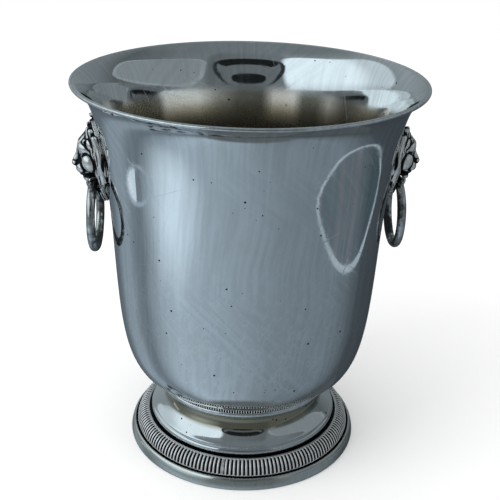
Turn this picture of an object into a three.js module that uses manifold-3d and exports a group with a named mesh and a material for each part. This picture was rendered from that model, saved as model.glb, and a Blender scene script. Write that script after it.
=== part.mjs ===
// Champagne bucket in silver plate: a flared bowl on a low spread foot, a milled collar between
// them, a gadrooned band round the foot, and a lion mask with a drop ring on each side.
// Millimetres, +Z up. The origin is the middle of the face that the foot stands on.
// The two handles face along +X and -X.
import * as THREE from 'three';
import { mergeVertices } from 'three/addons/utils/BufferGeometryUtils.js';
import Module from 'manifold-3d';

const wasm = await Module();
wasm.setup();

// ---- driving dimensions -------------------------------------------------------------------
const GAP = 0.3; // clearance between pieces that are soldered together
const SEGMENTS = 48; // flats round every turned piece

const BOWL = { wall: 1.5, floorZ: 47.5, curveSteps: 13 };
// outside of the bowl from the edge of its flat floor to the lip, as radius and height
const BOWL_CURVE = [
  [50, 47.5], [60, 48.9], [67.2, 53.2], [71.4, 60], [74.9, 70], [78, 88], [80.2, 116],
  [82.1, 153], [85.3, 188], [88.6, 208], [92.9, 223.5], [97.6, 230.6], [101.0, 233.5],
];
const RIM = { wireR: 1.05, centreR: 101.9, top: 235.4, sides: 6 };

const COLLAR = { outerR: 56.3, innerR: 52.4, low: 43.6, high: 47.2, teeth: 90, toothDepth: 0.8 };
const NECK_RING = { outerR: 56.4, innerR: 52.4, low: 40.7, high: 43.3 };
const FOOT = { wall: 1.3, topZ: 40.4, skirtR: 68.6, skirtLow: 0.5 };
const FILLET = { centreR: 62.35, centreZ: 15.0, wireR: 0.8, sides: 6 };
const GADROON = { ribs: 60, depth: 1.1, top: [63.5, 15.6], bottom: [69.4, 8.1], bulge: [67.6, 13.5] };
const BASE = { outerR: 73.6, innerR: 68.95, height: 7.4 };

const RING = { radius: 20.5, wireR: 2.7, x: 91.5, pivotZ: 173, around: 36, sides: 8 };
const STAPLE = { width: 6, holeR: 3.4, outerR: 4.5, backX: 87.3 };
const MASK = {
  top: 214, bottom: 161, centreZ: 187, gapToWall: 0.45, mane: 2.9, around: 30, rings: 8, slotHalf: 12,
};

// ---- helpers ------------------------------------------------------------------------------
const silver = (shade, roughness) =>
  new THREE.MeshStandardMaterial({ color: shade, roughness, metalness: 1 });
const BRIGHT = 0xc9ced2;
const WORN = 0xb4b6b4;
const DARK = 0x86867f;

const bucket = new THREE.Group();

function addPiece(name, geometry, material, turn = 0) {
  const mesh = new THREE.Mesh(geometry, material);
  mesh.name = name;
  mesh.rotation.z = turn;
  bucket.add(mesh);
}

// A turned piece about +Z. The profile is a list of [radius, height] points.
function turned(profile, segments = SEGMENTS) {
  const points = profile.map(([r, z]) => new THREE.Vector2(r, z));
  const first = points[0];
  const last = points[points.length - 1];
  if (first.x > 0 || last.x > 0) points.push(first.clone());
  const geometry = new THREE.LatheGeometry(points, segments);
  geometry.rotateX(Math.PI / 2);
  return geometry;
}

function smooth(points, steps) {
  const curve = new THREE.SplineCurve(points.map(([r, z]) => new THREE.Vector2(r, z)));
  return curve.getPoints(steps).map((p) => [p.x, p.y]);
}

// The same run of points moved sideways by a distance, to its left when read in order.
function offset(points, distance) {
  return points.map(([r, z], i) => {
    const before = points[Math.max(i - 1, 0)];
    const after = points[Math.min(i + 1, points.length - 1)];
    const dr = after[0] - before[0];
    const dz = after[1] - before[1];
    const length = Math.hypot(dr, dz);
    return [r - (dz / length) * distance, z + (dr / length) * distance];
  });
}

function circleProfile(centreR, centreZ, radius, sides) {
  const points = [];
  for (let i = 0; i < sides; i += 1) {
    const angle = ((i + 0.5) / sides) * 2 * Math.PI;
    points.push([centreR + radius * Math.cos(angle), centreZ + radius * Math.sin(angle)]);
  }
  return points;
}

function solid(geometry) {
  const bare = geometry.clone();
  bare.deleteAttribute('normal');
  bare.deleteAttribute('uv');
  const merged = mergeVertices(bare, 1e-4);
  return new wasm.Manifold(new wasm.Mesh({
    numProp: 3,
    vertProperties: new Float32Array(merged.attributes.position.array),
    triVerts: new Uint32Array(merged.index.array),
  }));
}

function fromSolid(body) {
  const mesh = body.getMesh();
  const geometry = new THREE.BufferGeometry();
  geometry.setAttribute('position', new THREE.BufferAttribute(mesh.vertProperties, 3));
  geometry.setIndex(new THREE.BufferAttribute(mesh.triVerts, 1));
  geometry.computeVertexNormals();
  return geometry;
}

// ---- bowl ---------------------------------------------------------------------------------
const bowlOutside = smooth(BOWL_CURVE, BOWL.curveSteps);

function bowlRadius(z) {
  const i = bowlOutside.findIndex((p) => p[1] >= z);
  const [r0, z0] = bowlOutside[i - 1];
  const [r1, z1] = bowlOutside[i];
  return r0 + ((r1 - r0) * (z - z0)) / (z1 - z0);
}

function bowlShell() {
  const outside = [[0, BOWL.floorZ], ...bowlOutside];
  const inside = offset(outside, BOWL.wall);
  inside[0][0] = 0;
  return turned([...outside, ...inside.reverse()]);
}

function rimWire() {
  return turned(circleProfile(RIM.centreR, RIM.top - RIM.wireR, RIM.wireR, RIM.sides));
}

// ---- foot ---------------------------------------------------------------------------------
// A flat ring whose outside is cut with fine upright teeth.
function milledCollar() {
  const shape = new THREE.Shape();
  for (let i = 0; i < COLLAR.teeth * 2; i += 1) {
    const radius = COLLAR.outerR - (i % 2) * COLLAR.toothDepth;
    const angle = (i / (COLLAR.teeth * 2)) * 2 * Math.PI;
    const point = [radius * Math.cos(angle), radius * Math.sin(angle)];
    if (i === 0) shape.moveTo(...point);
    else shape.lineTo(...point);
  }
  const hole = new THREE.Path();
  hole.absarc(0, 0, COLLAR.innerR, 0, 2 * Math.PI, true);
  shape.holes.push(hole);
  const depth = COLLAR.high - COLLAR.low;
  const geometry = new THREE.ExtrudeGeometry(shape, {
    depth, bevelEnabled: false, curveSegments: SEGMENTS / 2,
  });
  geometry.translate(0, 0, COLLAR.low);
  return geometry;
}

function neckRing() {
  const { outerR, innerR, low, high } = NECK_RING;
  return turned([
    [innerR, low], [outerR - 0.8, low], [outerR, low + 0.8], [outerR, high - 0.8],
    [outerR - 0.8, high], [innerR, high],
  ]);
}

function footShell() {
  const { skirtR, skirtLow, topZ } = FOOT;
  const neck = smooth([[54.6, topZ], [50.6, 37.4], [49.6, 33.6], [51.3, 27.8], [54.8, 23.0], [58.4, 20.0]], 7);
  const edge = [[59.6, 19.3], [60.2, 18.2], [60.2, 16.4], [59.8, 13.9]];
  const skirt = [[62.4, 13.8], [68.2, 6.6], [skirtR, 5.6], [skirtR, skirtLow]];
  const outside = [...neck, ...edge, ...skirt];
  const inside = offset(outside, -FOOT.wall);
  inside[0] = [50.6, topZ];
  inside[1] = [49.2, 38.4];
  return turned([...inside, ...outside.reverse()]);
}

function filletWire() {
  return turned(circleProfile(FILLET.centreR, FILLET.centreZ, FILLET.wireR, FILLET.sides));
}

// A convex strip whose outer face rises into a rib on every second line of the turning.
function gadroonBand() {
  const { top, bottom, bulge, ribs, depth } = GADROON;
  const outer = smooth([bottom, bulge, top], 3);
  const back = [[63.45, 13.2], [68.7, 6.8]];
  const geometry = turned([...outer, ...back], ribs * 2);
  const position = geometry.attributes.position;
  const pointsInLine = outer.length + back.length + 1;
  for (let i = 0; i < position.count; i += 1) {
    const line = Math.floor(i / pointsInLine);
    const point = i % pointsInLine;
    const onFace = point > 0 && point < outer.length - 1;
    if (onFace && line % 2 === 1) {
      const x = position.getX(i);
      const y = position.getY(i);
      const scale = 1 - depth / Math.hypot(x, y);
      position.setXYZ(i, x * scale, y * scale, position.getZ(i) - depth * 0.6);
    }
  }
  return geometry;
}

function baseRing() {
  const { outerR, innerR, height } = BASE;
  return turned([
    [innerR, 0], [outerR - 0.5, 0], [outerR, 0.9], [outerR - 0.3, 3], [outerR - 1.45, 6.1],
    [outerR - 2, height], [outerR - 2.8, height - 0.2], [innerR, height - 1.2],
  ]);
}

// ---- handles ------------------------------------------------------------------------------
// Half of the mask's outline seen from the front, from the finial down to the tip of the mane.
const MASK_OUTLINE = [
  [0, MASK.top], [4.2, 211.5], [5.4, 207.5], [9.5, 204.5], [15, 200.5], [18.6, 194], [19.6, 186],
  [17.6, 178], [13.6, 171], [8, 165], [0, MASK.bottom],
];

// The face stands up from the mane as a set of rounded swellings:
// sideways offset, height, half width, half height, and how far it stands out from the wall.
const MASK_SWELLINGS = [
  [0, 191, 14.5, 17, 12.5], // skull
  [0, 199.5, 7, 6.5, 16], // forehead
  [6.2, 194, 5.5, 4, 16], // brow
  [10, 185.5, 5.5, 7, 13], // cheek
  [0, 188.5, 4, 8, 18], // bridge of the nose
  [0, 183, 8, 6, 18.8], // muzzle
  [0, 184.8, 3.6, 2.6, 19.8], // nose
  [0, 174.8, 5.6, 5.2, 15.5], // chin
  [0, 208.5, 4.8, 5, 5.5], // finial
];

function maskHeight(y, z) {
  let height = MASK.mane;
  MASK_SWELLINGS.forEach(([sideways, up, halfWidth, halfHeight, reach]) => {
    const a = (Math.abs(y) - sideways) / halfWidth;
    const b = (z - up) / halfHeight;
    const inside = 1 - a * a - b * b;
    if (inside > 0) height = Math.max(height, reach * Math.sqrt(inside) ** 0.8);
  });
  return height;
}

// The outline's reach from the mask's centre, by angle from straight up.
function maskOutline(around) {
  const mirrored = MASK_OUTLINE.slice(1, -1).reverse().map(([y, z]) => [-y, z]);
  const loop = [...MASK_OUTLINE, ...mirrored].map(([y, z]) => new THREE.Vector3(y, z, 0));
  const curve = new THREE.CatmullRomCurve3(loop, true);
  return curve.getSpacedPoints(around).slice(1).reverse().map((p) => [p.x, p.y]);
}

// A sphere pressed into the mask: its front half becomes the face, its back half lies on the wall.
function maskBlank() {
  const outline = maskOutline(MASK.around);
  const geometry = new THREE.SphereGeometry(1, MASK.around, MASK.rings * 2);
  const position = geometry.attributes.position;
  const columns = MASK.around + 1;
  for (let i = 0; i < position.count; i += 1) {
    const row = Math.floor(i / columns);
    const column = i % columns;
    const front = row <= MASK.rings;
    const share = (front ? row : MASK.rings * 2 - row) / MASK.rings;
    const edge = outline[column % MASK.around];
    const y = edge[0] * share;
    const z = MASK.centreZ + (edge[1] - MASK.centreZ) * share;
    const wall = Math.sqrt(bowlRadius(z) ** 2 - y * y) + MASK.gapToWall;
    const rim = row === MASK.rings ? MASK.mane * 0.55 : maskHeight(y, z);
    position.setXYZ(i, front ? wall + rim : wall, y, z);
  }
  return geometry;
}

// An upright slot with a round top, seen along Y, that leaves room for the ring and its staple.
function jawSlot(halfWidth) {
  const radius = STAPLE.outerR + GAP;
  const back = STAPLE.backX - GAP;
  const shape = new THREE.Shape();
  shape.moveTo(back, MASK.bottom - 5);
  shape.lineTo(RING.x + radius, MASK.bottom - 5);
  shape.lineTo(RING.x + radius, RING.pivotZ);
  shape.absarc(RING.x, RING.pivotZ, radius, 0, Math.PI / 2, false);
  shape.lineTo(back, RING.pivotZ + radius);
  const geometry = new THREE.ExtrudeGeometry(shape, {
    depth: halfWidth * 2, bevelEnabled: false, curveSegments: 6,
  });
  geometry.rotateX(Math.PI / 2);
  geometry.translate(0, halfWidth, 0);
  return geometry;
}

function lionMask() {
  return fromSolid(solid(maskBlank()).subtract(solid(jawSlot(MASK.slotHalf))));
}

// A staple between the mane and the chin, with the eye that the ring hangs in.
function ringStaple() {
  const shape = new THREE.Shape();
  shape.moveTo(STAPLE.backX, RING.pivotZ - STAPLE.outerR);
  shape.lineTo(RING.x, RING.pivotZ - STAPLE.outerR);
  shape.absarc(RING.x, RING.pivotZ, STAPLE.outerR, -Math.PI / 2, Math.PI / 2, false);
  shape.lineTo(STAPLE.backX, RING.pivotZ + STAPLE.outerR);
  const eye = new THREE.Path();
  eye.absarc(RING.x, RING.pivotZ, STAPLE.holeR, 0, 2 * Math.PI, true);
  shape.holes.push(eye);
  const geometry = new THREE.ExtrudeGeometry(shape, {
    depth: STAPLE.width, bevelEnabled: false, curveSegments: 12,
  });
  geometry.rotateX(Math.PI / 2);
  geometry.translate(0, STAPLE.width / 2, 0);
  return geometry;
}

// The ring hangs in a plane that faces outwards, with the top of its wire in the staple.
function dropRing() {
  const geometry = turned(circleProfile(RING.radius, 0, RING.wireR, RING.sides), RING.around);
  geometry.rotateY(Math.PI / 2);
  geometry.translate(RING.x, 0, RING.pivotZ - RING.radius);
  return geometry;
}

// ---- assembly -----------------------------------------------------------------------------
addPiece('bowl_shell', bowlShell(), silver(BRIGHT, 0.18));
addPiece('rim_wire', rimWire(), silver(BRIGHT, 0.15));
addPiece('foot_collar', milledCollar(), silver(WORN, 0.3));
addPiece('neck_ring', neckRing(), silver(BRIGHT, 0.16));
addPiece('foot_shell', footShell(), silver(BRIGHT, 0.16));
addPiece('fillet_wire', filletWire(), silver(WORN, 0.25));
addPiece('gadroon_band', gadroonBand(), silver(WORN, 0.28));
addPiece('base_ring', baseRing(), silver(WORN, 0.24));

[['right', 0], ['left', Math.PI]].forEach(([side, turn]) => {
  addPiece(`lion_mask_${side}`, lionMask(), silver(DARK, 0.38), turn);
  addPiece(`ring_staple_${side}`, ringStaple(), silver(DARK, 0.4), turn);
  addPiece(`ring_${side}`, dropRing(), silver(WORN, 0.3), turn);
});

export default bucket;
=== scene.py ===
"""Champagne bucket in silver plate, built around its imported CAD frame.

Lengths are named in millimetres and turned into metres when a mesh is made.
"""

import math

import bmesh
import bpy
import numpy as np
from mathutils import Matrix, Vector


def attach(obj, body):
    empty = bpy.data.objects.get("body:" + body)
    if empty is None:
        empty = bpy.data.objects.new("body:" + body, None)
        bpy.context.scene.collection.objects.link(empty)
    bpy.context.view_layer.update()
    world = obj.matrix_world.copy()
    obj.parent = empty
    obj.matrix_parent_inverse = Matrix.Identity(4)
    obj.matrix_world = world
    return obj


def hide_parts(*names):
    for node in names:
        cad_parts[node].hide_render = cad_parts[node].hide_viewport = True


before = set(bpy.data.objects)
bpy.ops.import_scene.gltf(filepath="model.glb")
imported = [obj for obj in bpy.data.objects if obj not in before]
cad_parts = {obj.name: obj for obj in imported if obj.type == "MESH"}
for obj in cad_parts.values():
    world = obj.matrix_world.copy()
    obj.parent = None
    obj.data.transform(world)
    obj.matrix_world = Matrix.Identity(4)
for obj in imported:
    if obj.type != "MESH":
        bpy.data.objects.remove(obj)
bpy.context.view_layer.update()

MM = 0.001

# ---- sizes, in millimetres -----------------------------------------------------------------
WALL = 1.5
FLOOR_Z = 47.5
BOWL_CURVE = [
    (50, 47.5), (60, 48.9), (67.2, 53.2), (71.4, 60), (74.9, 70), (78, 88), (80.2, 116),
    (82.1, 153), (85.3, 188), (88.6, 208), (92.9, 223.5), (97.6, 230.6), (101.4, 234.0),
]
CURVE_PASSES = 14  # averaging passes that even out the bowl's curve
RIM_R, RIM_Z, RIM_WIRE = 101.9, 234.35, 1.05
COLLAR_TEETH = 225
GADROONS = 171
GADROON_HALF = 0.36  # half of a rib, as a share of the ribs' spacing
GADROON_SEAM = math.radians(-105)  # where the ends of the gadrooned strip meet
RING_RADIUS, RING_WIRE = 20.5, 2.7
RING_X, PIVOT_Z = 91.5, 173.0
SATIN_Z = 208.0  # the inside is satin below this height and polished above it


# ---- profiles and turned meshes ------------------------------------------------------------
def catmull(points, steps):
    """A Catmull-Rom curve through points, with even steps in its parameter."""
    p = np.array([points[0], *points, points[-1]], float)
    spans = len(points) - 1
    out = []
    for t in np.linspace(0, spans, steps + 1):
        i = min(int(t), spans - 1)
        f = t - i
        a, b, c, d = p[i:i + 4]
        out.append(0.5 * (2 * b + (c - a) * f + (2 * a - 5 * b + 4 * c - d) * f * f
                          + (3 * b - a - 3 * c + d) * f ** 3))
    return np.array(out)


def sideways(points, distance):
    """The same run of points moved to its left by a distance."""
    along = np.gradient(points, axis=0)
    along /= np.linalg.norm(along, axis=1)[:, None]
    return points + distance * np.stack([-along[:, 1], along[:, 0]], 1)


def arc(centre, radius, start, end, steps):
    angles = np.radians(np.linspace(start, end, steps + 1))
    return np.array(centre) + radius * np.stack([np.cos(angles), np.sin(angles)], 1)


def rounded(points, radius, steps=4):
    """A closed outline with its corners rounded."""
    p = np.array(points, float)
    out = []
    for i in range(len(p)):
        corner, before, after = p[i], p[i - 1], p[(i + 1) % len(p)]
        to_before, to_after = before - corner, after - corner
        a, b = np.linalg.norm(to_before), np.linalg.norm(to_after)
        cut = min(radius, 0.45 * a, 0.45 * b)
        start, end = corner + to_before / a * cut, corner + to_after / b * cut
        for t in np.linspace(0, 1, steps + 1):
            out.append((1 - t) ** 2 * start + 2 * t * (1 - t) * corner + t * t * end)
    return np.array(out)


def make_object(name, vertices, faces, marks=None):
    """A smooth mesh object from points in millimetres. marks are named values per point."""
    mesh = bpy.data.meshes.new(name)
    mesh.from_pydata([tuple(v) for v in np.asarray(vertices) * MM], [], faces)
    for key, values in (marks or {}).items():
        layer = mesh.attributes.new(key, "FLOAT", "POINT")
        layer.data.foreach_set("value", np.asarray(values, np.float32).ravel())
    mesh.polygons.foreach_set("use_smooth", [True] * len(mesh.polygons))
    mesh.update()
    piece = bpy.data.objects.new(name, mesh)
    bpy.context.scene.collection.objects.link(piece)
    return piece


def turned(name, profile, lines, press=None, marks=None):
    """Turns a profile of (radius, height) points about +Z.

    The profile runs anticlockwise round the material seen with +Z up, and either closes on itself
    or starts and ends on the axis. press(angle) gives how far each point moves along the profile's
    outward normal, marks(angle) named values, one per point of the profile.
    """
    profile = np.asarray(profile, float)
    capped = profile[0, 0] < 1e-6 and profile[-1, 0] < 1e-6
    body = profile[1:-1] if capped else profile
    count = len(body)
    along = np.roll(body, -1, 0) - np.roll(body, 1, 0)
    along /= np.linalg.norm(along, axis=1)[:, None]
    normal = np.stack([along[:, 1], -along[:, 0]], 1)
    vertices, values = [], {}
    for line in range(lines):
        angle = 2 * math.pi * line / lines
        moved = body if press is None else body + normal * press(angle)[:, None]
        radii, heights = moved[:, 0], moved[:, 1]
        vertices.append(np.stack([radii * math.cos(angle), radii * math.sin(angle), heights], 1))
        for key, found in (marks(angle) if marks else {}).items():
            values.setdefault(key, []).append(found)
    vertices = np.concatenate(vertices)
    values = {key: np.concatenate(found) for key, found in values.items()}
    faces = []
    for line in range(lines):
        here, there = line * count, ((line + 1) % lines) * count
        for i in range(count - 1 if capped else count):
            j = (i + 1) % count
            faces.append((here + i, there + i, there + j, here + j))
    if capped:
        low, high = len(vertices), len(vertices) + 1
        vertices = np.vstack([vertices, [0, 0, profile[0, 1]], [0, 0, profile[-1, 1]]])
        values = {key: np.append(found, [found[0], found[count - 1]]) for key, found in values.items()}
        for line in range(lines):
            here, there = line * count, ((line + 1) % lines) * count
            faces.append((low, there, here))
            faces.append((high, here + count - 1, there + count - 1))
    return make_object(name, vertices, faces, values)


# ---- materials -----------------------------------------------------------------------------
class Tree:
    """Short calls for wiring one node tree."""

    def __init__(self, owner):
        owner.use_nodes = True
        self.nodes = owner.node_tree.nodes
        self.links = owner.node_tree.links
        self.nodes.clear()

    def add(self, kind, inputs=None, **settings):
        node = self.nodes.new(kind)
        for key, value in settings.items():
            setattr(node, key, value)
        for key, value in (inputs or {}).items():
            self.put(node.inputs[key], value)
        return node

    def put(self, socket, value):
        if isinstance(value, bpy.types.NodeSocket):
            self.links.new(value, socket)
        else:
            socket.default_value = value

    def sum(self, operation, a, b=0.0, clamp=False):
        node = self.add("ShaderNodeMath", operation=operation, use_clamp=clamp)
        self.put(node.inputs[0], a)
        self.put(node.inputs[1], b)
        return node.outputs[0]

    def step(self, value, low, high, to_low=0.0, to_high=1.0):
        node = self.add("ShaderNodeMapRange", {
            "Value": value, "From Min": low, "From Max": high, "To Min": to_low, "To Max": to_high})
        node.interpolation_type = "SMOOTHSTEP"
        return node.outputs[0]

    def noise(self, vector, scale, detail=3.0, roughness=0.5):
        node = self.add("ShaderNodeTexNoise", {
            "Vector": vector, "Scale": scale, "Detail": detail, "Roughness": roughness})
        return node.outputs[0]

    def stretched(self, vector, scale, turn=0.0):
        """Coordinates turned first and then stretched, so that a noise drawn in them runs in lines."""
        rotated = self.add("ShaderNodeMapping", {"Vector": vector, "Rotation": (0, 0, turn)}).outputs[0]
        return self.add("ShaderNodeMapping", {"Vector": rotated, "Scale": scale}).outputs[0]

    def blend(self, share, a, b):
        node = self.add("ShaderNodeMix", data_type="RGBA")
        self.put(node.inputs[0], share)
        self.put(node.inputs[6], a)
        self.put(node.inputs[7], b)
        return node.outputs[2]

    def ramp(self, value, stops):
        node = self.add("ShaderNodeValToRGB", {"Fac": value})
        while len(node.color_ramp.elements) > 1:
            node.color_ramp.elements.remove(node.color_ramp.elements[0])
        first = node.color_ramp.elements[0]
        first.position, first.color = stops[0]
        for position, colour in stops[1:]:
            node.color_ramp.elements.new(position).color = colour
        return node.outputs[0]


SILVER = (0.90, 0.905, 0.90, 1)
SILVER_GREY = (0.74, 0.745, 0.74, 1)
TARNISH = (0.60, 0.53, 0.40, 1)
# black for pits, and for hollows, gaps and undersides, where it is partly oxide and partly painted shade
OXIDE_AND_SHADE = (0.018, 0.018, 0.020, 1)
SATIN_LIGHT = (0.34, 0.31, 0.24, 1)
SATIN_DARK = (0.20, 0.17, 0.11, 1)
SATIN_DEEP = (0.10, 0.085, 0.055, 1)
SATIN_FLOOR = (0.60, 0.58, 0.50, 1)
# colours of the painted reflection on the satin inside
SHEEN_PALE = (0.88, 0.87, 0.80, 1)
SHEEN_WARM = (0.66, 0.58, 0.38, 1)
# painted reflection of bright windows on the satin inside: how bright it is, by half turns round the back
# of the bowl
SHEEN = (
    (0.22, 0.1), (0.265, 0.6), (0.30, 0.05), (0.335, 0.1), (0.36, 1.0), (0.41, 1.0), (0.44, 0.1),
    (0.50, 0.1), (0.56, 0.5), (0.60, 1.0), (0.69, 1.0), (0.71, 0.1), (0.80, 0.1),
)
# warm brown band round the hollow of the neck: partly tarnish, partly a painted dark reflection
WARM_BROWN = (0.36, 0.31, 0.20, 1)
# scratch patterns: how often a line comes across and along its run, and how far the run is turned
WIPE_LINES = (((1300, 50, 1), 0.1), ((1200, 60, 1), -0.3), ((1100, 60, 1), 0.85), ((1200, 60, 1), -0.95))
DEEP_LINES = (((600, 14, 1), 1.2), ((560, 12, 1), 0.4), ((620, 16, 1), -0.7))


def silver(name, clean=SILVER, rough=0.09, scratches=1.0, tarnish=0.25, waves=1.0, pits=1.0,
           oxide_and_shade=0.0, satin=False, radius=82.0, metal=1.0, mottled=0.22, warm=None):
    """Silver plate: wavy from hammering out, finely scratched, clouded, pitted, black in hollows with oxide
    and painted shade.
    """
    material = bpy.data.materials.new(name)
    tree = Tree(material)
    place = tree.add("ShaderNodeTexCoord").outputs["Object"]
    x, y, z = tree.add("ShaderNodeSeparateXYZ", {"Vector": place}).outputs
    angle = tree.sum("ARCTAN2", y, x)
    around = tree.sum("MULTIPLY", angle, radius * MM)
    unrolled = tree.add("ShaderNodeCombineXYZ", {"X": around, "Y": z, "Z": 0.0}).outputs[0]
    bend = tree.noise(place, 14.0, 2.0)
    bends = tree.add("ShaderNodeCombineXYZ", {"X": bend, "Y": bend, "Z": bend}).outputs[0]
    drift = tree.add("ShaderNodeVectorMath", operation="SCALE")
    tree.put(drift.inputs[0], bends)
    tree.put(drift.inputs["Scale"], 0.012)
    swept = tree.add("ShaderNodeVectorMath", operation="ADD")
    tree.put(swept.inputs[0], unrolled)
    tree.put(swept.inputs[1], drift.outputs[0])
    swept = swept.outputs[0]

    # broad wiping streaks, fine wipes in four directions, sparse deeper scratches
    upright = tree.noise(tree.stretched(swept, (380, 20, 1), 0.06), 1.0, 3.0)
    slanting = tree.noise(tree.stretched(swept, (300, 26, 1), -0.75), 1.0, 3.0)
    share = tree.step(tree.noise(place, 17.0, 1.0), 0.47, 0.70)
    streaks = tree.add("ShaderNodeMix", data_type="FLOAT")
    tree.put(streaks.inputs[0], share)
    tree.put(streaks.inputs[2], upright)
    tree.put(streaks.inputs[3], slanting)
    streaks = tree.step(streaks.outputs[0], 0.33, 0.67, -1.0, 1.0)
    wipes = None
    for scale, turn in WIPE_LINES:
        lines = tree.noise(tree.stretched(swept, scale, turn), 1.0, 2.0)
        lines = tree.step(lines, 0.56, 0.72)
        wipes = lines if wipes is None else tree.sum("MAXIMUM", wipes, lines)
    deep = None
    for scale, turn in DEEP_LINES:
        lines = tree.noise(tree.stretched(swept, scale, turn), 1.0, 1.0)
        lines = tree.step(lines, 0.70, 0.74)
        deep = lines if deep is None else tree.sum("MAXIMUM", deep, lines)
    patches = tree.step(tree.noise(place, 38.0, 3.0), 0.38, 0.6)
    creases = tree.sum("SUBTRACT", tree.noise(tree.stretched(swept, (150, 62, 1), 0.3), 1.0, 2.0, 0.6), 0.5)
    creases = tree.step(tree.sum("ABSOLUTE", creases), 0.034, 0.0)
    creases = tree.sum("MULTIPLY", creases, tree.step(z, 0.165, 0.085, 0.15, 1.0))
    wipes = tree.sum("MULTIPLY", wipes, patches)

    clouds = tree.noise(place, 26.0, 5.0, 0.6)
    cloud = tree.step(clouds, 0.45, 0.75)
    specks = tree.add("ShaderNodeTexVoronoi", {"Vector": place, "Scale": 340.0})
    chance = tree.add("ShaderNodeSeparateColor", {"Color": specks.outputs["Color"]}).outputs
    crowd = tree.step(tree.noise(place, 24.0, 1.0), 0.42, 0.66, 0.972, 0.72)
    rare = tree.sum("GREATER_THAN", chance[0], crowd)
    speck_size = tree.sum("ADD", 0.075, tree.sum("MULTIPLY", tree.sum("POWER", chance[1], 4.0), 0.17))
    pit = tree.sum("MULTIPLY", tree.sum("LESS_THAN", specks.outputs["Distance"], speck_size), rare)
    pit = tree.sum("MULTIPLY", pit, pits, clamp=True)

    colour = tree.blend(tree.sum("MULTIPLY", cloud, tarnish), clean, TARNISH)
    dull = tree.step(tree.noise(place, 9.0, 2.0), 0.35, 0.7)
    dull = tree.sum("MULTIPLY", dull, 0.4)
    dull = tree.sum("ADD", dull, tree.sum("MULTIPLY", streaks, -0.60 * scratches))
    dull = tree.sum("ADD", dull, tree.sum("MULTIPLY", wipes, 0.25 * scratches))
    dull = tree.sum("SUBTRACT", dull, tree.sum("MULTIPLY", creases, 1.5 * scratches))
    colour = tree.blend(tree.sum("ADD", dull, 0.35, clamp=True), colour, SILVER_GREY)
    roughness = tree.sum("ADD", rough, tree.sum("MULTIPLY", wipes, 0.10 * scratches))
    roughness = tree.sum("ADD", roughness, tree.sum("MULTIPLY", cloud, 0.05))
    roughness = tree.sum("ADD", roughness, tree.sum("MULTIPLY", deep, 0.12))
    if satin:
        inside = tree.add("ShaderNodeAttribute", attribute_name="satin").outputs["Fac"]
        mottle = tree.noise(place, 60.0, 5.0, 0.65)
        # the satin's own mottled tone, darker towards the bottom of the bowl and paler on its floor
        satin_tone_and_sheen = tree.blend(tree.step(mottle, 0.3, 0.7), SATIN_LIGHT, SATIN_DARK)
        satin_tone_and_sheen = tree.blend(tree.step(z, 0.208, 0.158), satin_tone_and_sheen, SATIN_DEEP)
        satin_tone_and_sheen = tree.blend(tree.step(z, 0.172, 0.120), satin_tone_and_sheen, SATIN_FLOOR)
        # the bright patches high on the satin are a painted reflection of the windows, and the metal is
        # turned down there so that the lamps brighten them
        sheen_by_angle = tree.ramp(tree.sum("DIVIDE", angle, math.pi), [(at, (v, v, v, 1)) for at, v in SHEEN])
        sheen = tree.sum("MULTIPLY", sheen_by_angle, tree.step(z, 0.182, 0.202))
        sheen_metal_cut = tree.sum("MULTIPLY", tree.sum("MULTIPLY", sheen, inside), 0.5)
        metal = tree.sum("SUBTRACT", metal, sheen_metal_cut)
        satin_tone_and_sheen = tree.blend(sheen, satin_tone_and_sheen, tree.blend(tree.step(z, 0.190, 0.202), SHEEN_WARM, SHEEN_PALE))
        colour = tree.blend(tree.sum("MULTIPLY", inside, 0.92), colour, satin_tone_and_sheen)
        satin_rough = tree.sum("ADD", 0.14, tree.sum("MULTIPLY", mottle, 0.14))
        roughness = tree.sum("ADD", roughness, tree.sum("MULTIPLY", inside, satin_rough))
    # a warm brown band: partly tarnish, partly a painted dark reflection in the hollow of the neck
    if warm:
        above, below = tree.step(z, warm[0], warm[0] + 0.003), tree.step(z, warm[1] + 0.003, warm[1])
        band = tree.sum("MULTIPLY", above, below)
        colour = tree.blend(tree.sum("MULTIPLY", band, 0.85), colour, WARM_BROWN)
    # black from the mark: partly oxide in the hollows, partly painted shade in gaps, grooves and undersides
    if oxide_and_shade:
        black = tree.add("ShaderNodeAttribute", attribute_name="oxide_and_shade").outputs["Fac"]
        uneven = tree.step(tree.noise(place, 300.0, 4.0, 0.6), 0.2, 0.8, -mottled, mottled)
        black = tree.step(tree.sum("ADD", black, uneven), 0.30, 0.72)
        black = tree.sum("MULTIPLY", black, oxide_and_shade, clamp=True)
        colour = tree.blend(black, colour, OXIDE_AND_SHADE)
        roughness = tree.sum("ADD", roughness, tree.sum("MULTIPLY", black, 0.35))
    colour = tree.blend(pit, colour, OXIDE_AND_SHADE)
    roughness = tree.sum("ADD", roughness, tree.sum("MULTIPLY", pit, 0.4), clamp=True)

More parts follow.
